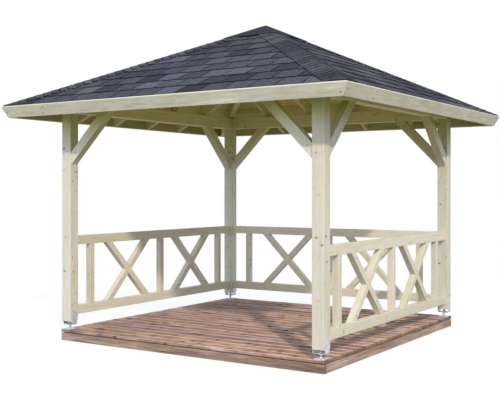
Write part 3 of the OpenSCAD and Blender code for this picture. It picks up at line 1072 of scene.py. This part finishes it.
def timber_screws(material, slanted):
    piece = Piece("timber_screws", "timberscrews")
    for node in slanted:
        slanted_screws(piece, node)
    fascia_screws(piece)
    piece.finish(material, "galvanised_steel")


# ---- stage -------------------------------------------------------------------------

def seen_directly(t):
    """A socket that is 1 for rays that see the background, and 0 for rays that light the object."""
    rays = t.add("LightPath", {}).outputs
    seen = t.math("MAXIMUM", rays["Is Camera Ray"], rays["Is Glossy Ray"])
    return t.math("MAXIMUM", seen, rays["Is Transmission Ray"])


def studio_world(strength):
    """A pale sky that lights the object, in front of a background of plain white."""
    world = bpy.data.worlds.new("studio")
    bpy.context.scene.world = world
    t = Tree(world)
    lit = t.nodes["Background"]
    t.feed(lit.inputs["Color"], SKY)
    t.feed(lit.inputs["Strength"], strength)
    white = t.add("Background", {"Color": WHITE})
    mix = t.add("MixShader", {0: seen_directly(t), 1: lit.outputs[0], 2: white.outputs[0]})
    t.feed(t.nodes["World Output"].inputs["Surface"], mix.outputs[0])


def studio_floor():
    """A pale floor that keeps the object's shadow and fades to the white of the background."""
    bpy.ops.mesh.primitive_plane_add(size=160)
    floor = bpy.context.object
    floor.name = "floor"
    t = material_tree("floor")
    floor.data.materials.append(t.owner)
    pale = t.add("BsdfDiffuse", {"Color": FLOOR}).outputs[0]
    lift = t.add("Emission", {"Color": FLOOR_LIFT, "Strength": 0.81}).outputs[0]
    lifted = t.add("AddShader", {0: pale, 1: lift}).outputs[0]
    white = t.add("Emission", {}).outputs[0]
    place = t.add("TexCoord", {}).outputs["Object"]
    reach = t.add("VectorMath", {0: place}, operation="LENGTH").outputs["Value"]
    far = t.add("MixShader", {0: t.step(reach, 3.5, 9.0), 1: lifted, 2: white}).outputs[0]
    final = t.add("MixShader", {0: seen_directly(t), 1: pale, 2: far}).outputs[0]
    t.feed(t.nodes["Material Output"].inputs["Surface"], final)


def studio_lamp(name, place, aim, size, power, colour=(1, 1, 1)):
    """A round lamp. Its power is for a distance of one metre, so far lamps keep their level."""
    reach = Vector(aim) - Vector(place)
    light = bpy.data.lights.new(name, "AREA")
    light.shape = "DISK"
    light.size = size
    light.energy = power * reach.length_squared
    light.color = colour
    lamp = bpy.data.objects.new(name, light)
    bpy.context.scene.collection.objects.link(lamp)
    lamp.location = place
    lamp.rotation_euler = reach.to_track_quat("-Z", "Y").to_euler()


def camera():
    """A level camera at the place and angle that the photo was taken from."""
    data = bpy.data.cameras.new("camera")
    data.lens = 61.98
    data.sensor_width = 36.0
    data.shift_x = -0.00587
    data.shift_y = -0.02111
    data.clip_end = 300
    view = bpy.data.objects.new("camera", data)
    view.location = (5.1179, -8.2004, 1.6074)
    view.rotation_euler = (math.pi / 2, 0, 0.573)
    bpy.context.scene.collection.objects.link(view)
    bpy.context.scene.camera = view


# ---- build -------------------------------------------------------------------------

def build():
    timber = timber_material("timber", srgb(199, 203, 184), srgb(217, 220, 208), srgb(223, 224, 215), 0.25)
    # The rails' streaks are a little yellower than the posts': painted olive shade for their shaded faces.
    rail_wood = timber_material("rail_timber", srgb(206, 206, 183), srgb(222, 221, 205),
                                srgb(228, 226, 212), 0.62)
    fascia_timber = fascia_material()
    roof_timber = roof_timber_material()
    boarding = roof_boarding_material()
    deck_wood = deck_material()
    rim_wood = rim_material()
    shingle = shingle_material()
    slot_shade_felt = felt_material()
    steel = steel_material()
    screw = screw_material()

    names = list(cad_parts)
    heavy = [n for n in names if n.endswith(("_post", "_braces"))]
    light = [n for n in names if n.endswith(("_rail", "_balusters", "_bars"))]
    fascias = [n for n in names if n.endswith("_fascia")]
    rafters = ["hip_rafters", "jack_rafters"]
    members(heavy, POST_ARRIS, timber, "timber")
    members(light, RAIL_ARRIS, rail_wood, "timber")
    members(fascias, FASCIA_ARRIS, fascia_timber, "timber", 0.15)
    members(rafters, RAFTER_ARRIS, roof_timber, "timber", 0.06)
    members([n for n in names if n.endswith("_beam")], POST_ARRIS, roof_timber, "timber")
    members(["deck_long_rims", "deck_end_rims", "deck_joist_set"], RIM_ARRIS, rim_wood, "deck_wood", 0.05)
    pitch = deck(deck_wood)
    for side in SIDES:
        roof_boards(side, boarding)
        shingles(side, shingle, slot_shade_felt)
    hip_caps(shingle)
    top_cap(shingle)
    feet(steel)
    deck_screws(screw, pitch)
    timber_screws(screw, [n for n in names if n.endswith(("_braces", "_bars"))])


bpy.context.scene.view_settings.view_transform = "Standard"
build()
studio_world(0.95)
studio_floor()
studio_lamp("key", (32.0, -32.0, 30.4), (0, 0, 1.6), 2.4, 7.1, SUN)
studio_lamp("fill", (-5.0, -30.0, 4.0), (0, 0, 1.2), 16.0, 1.3)
camera()
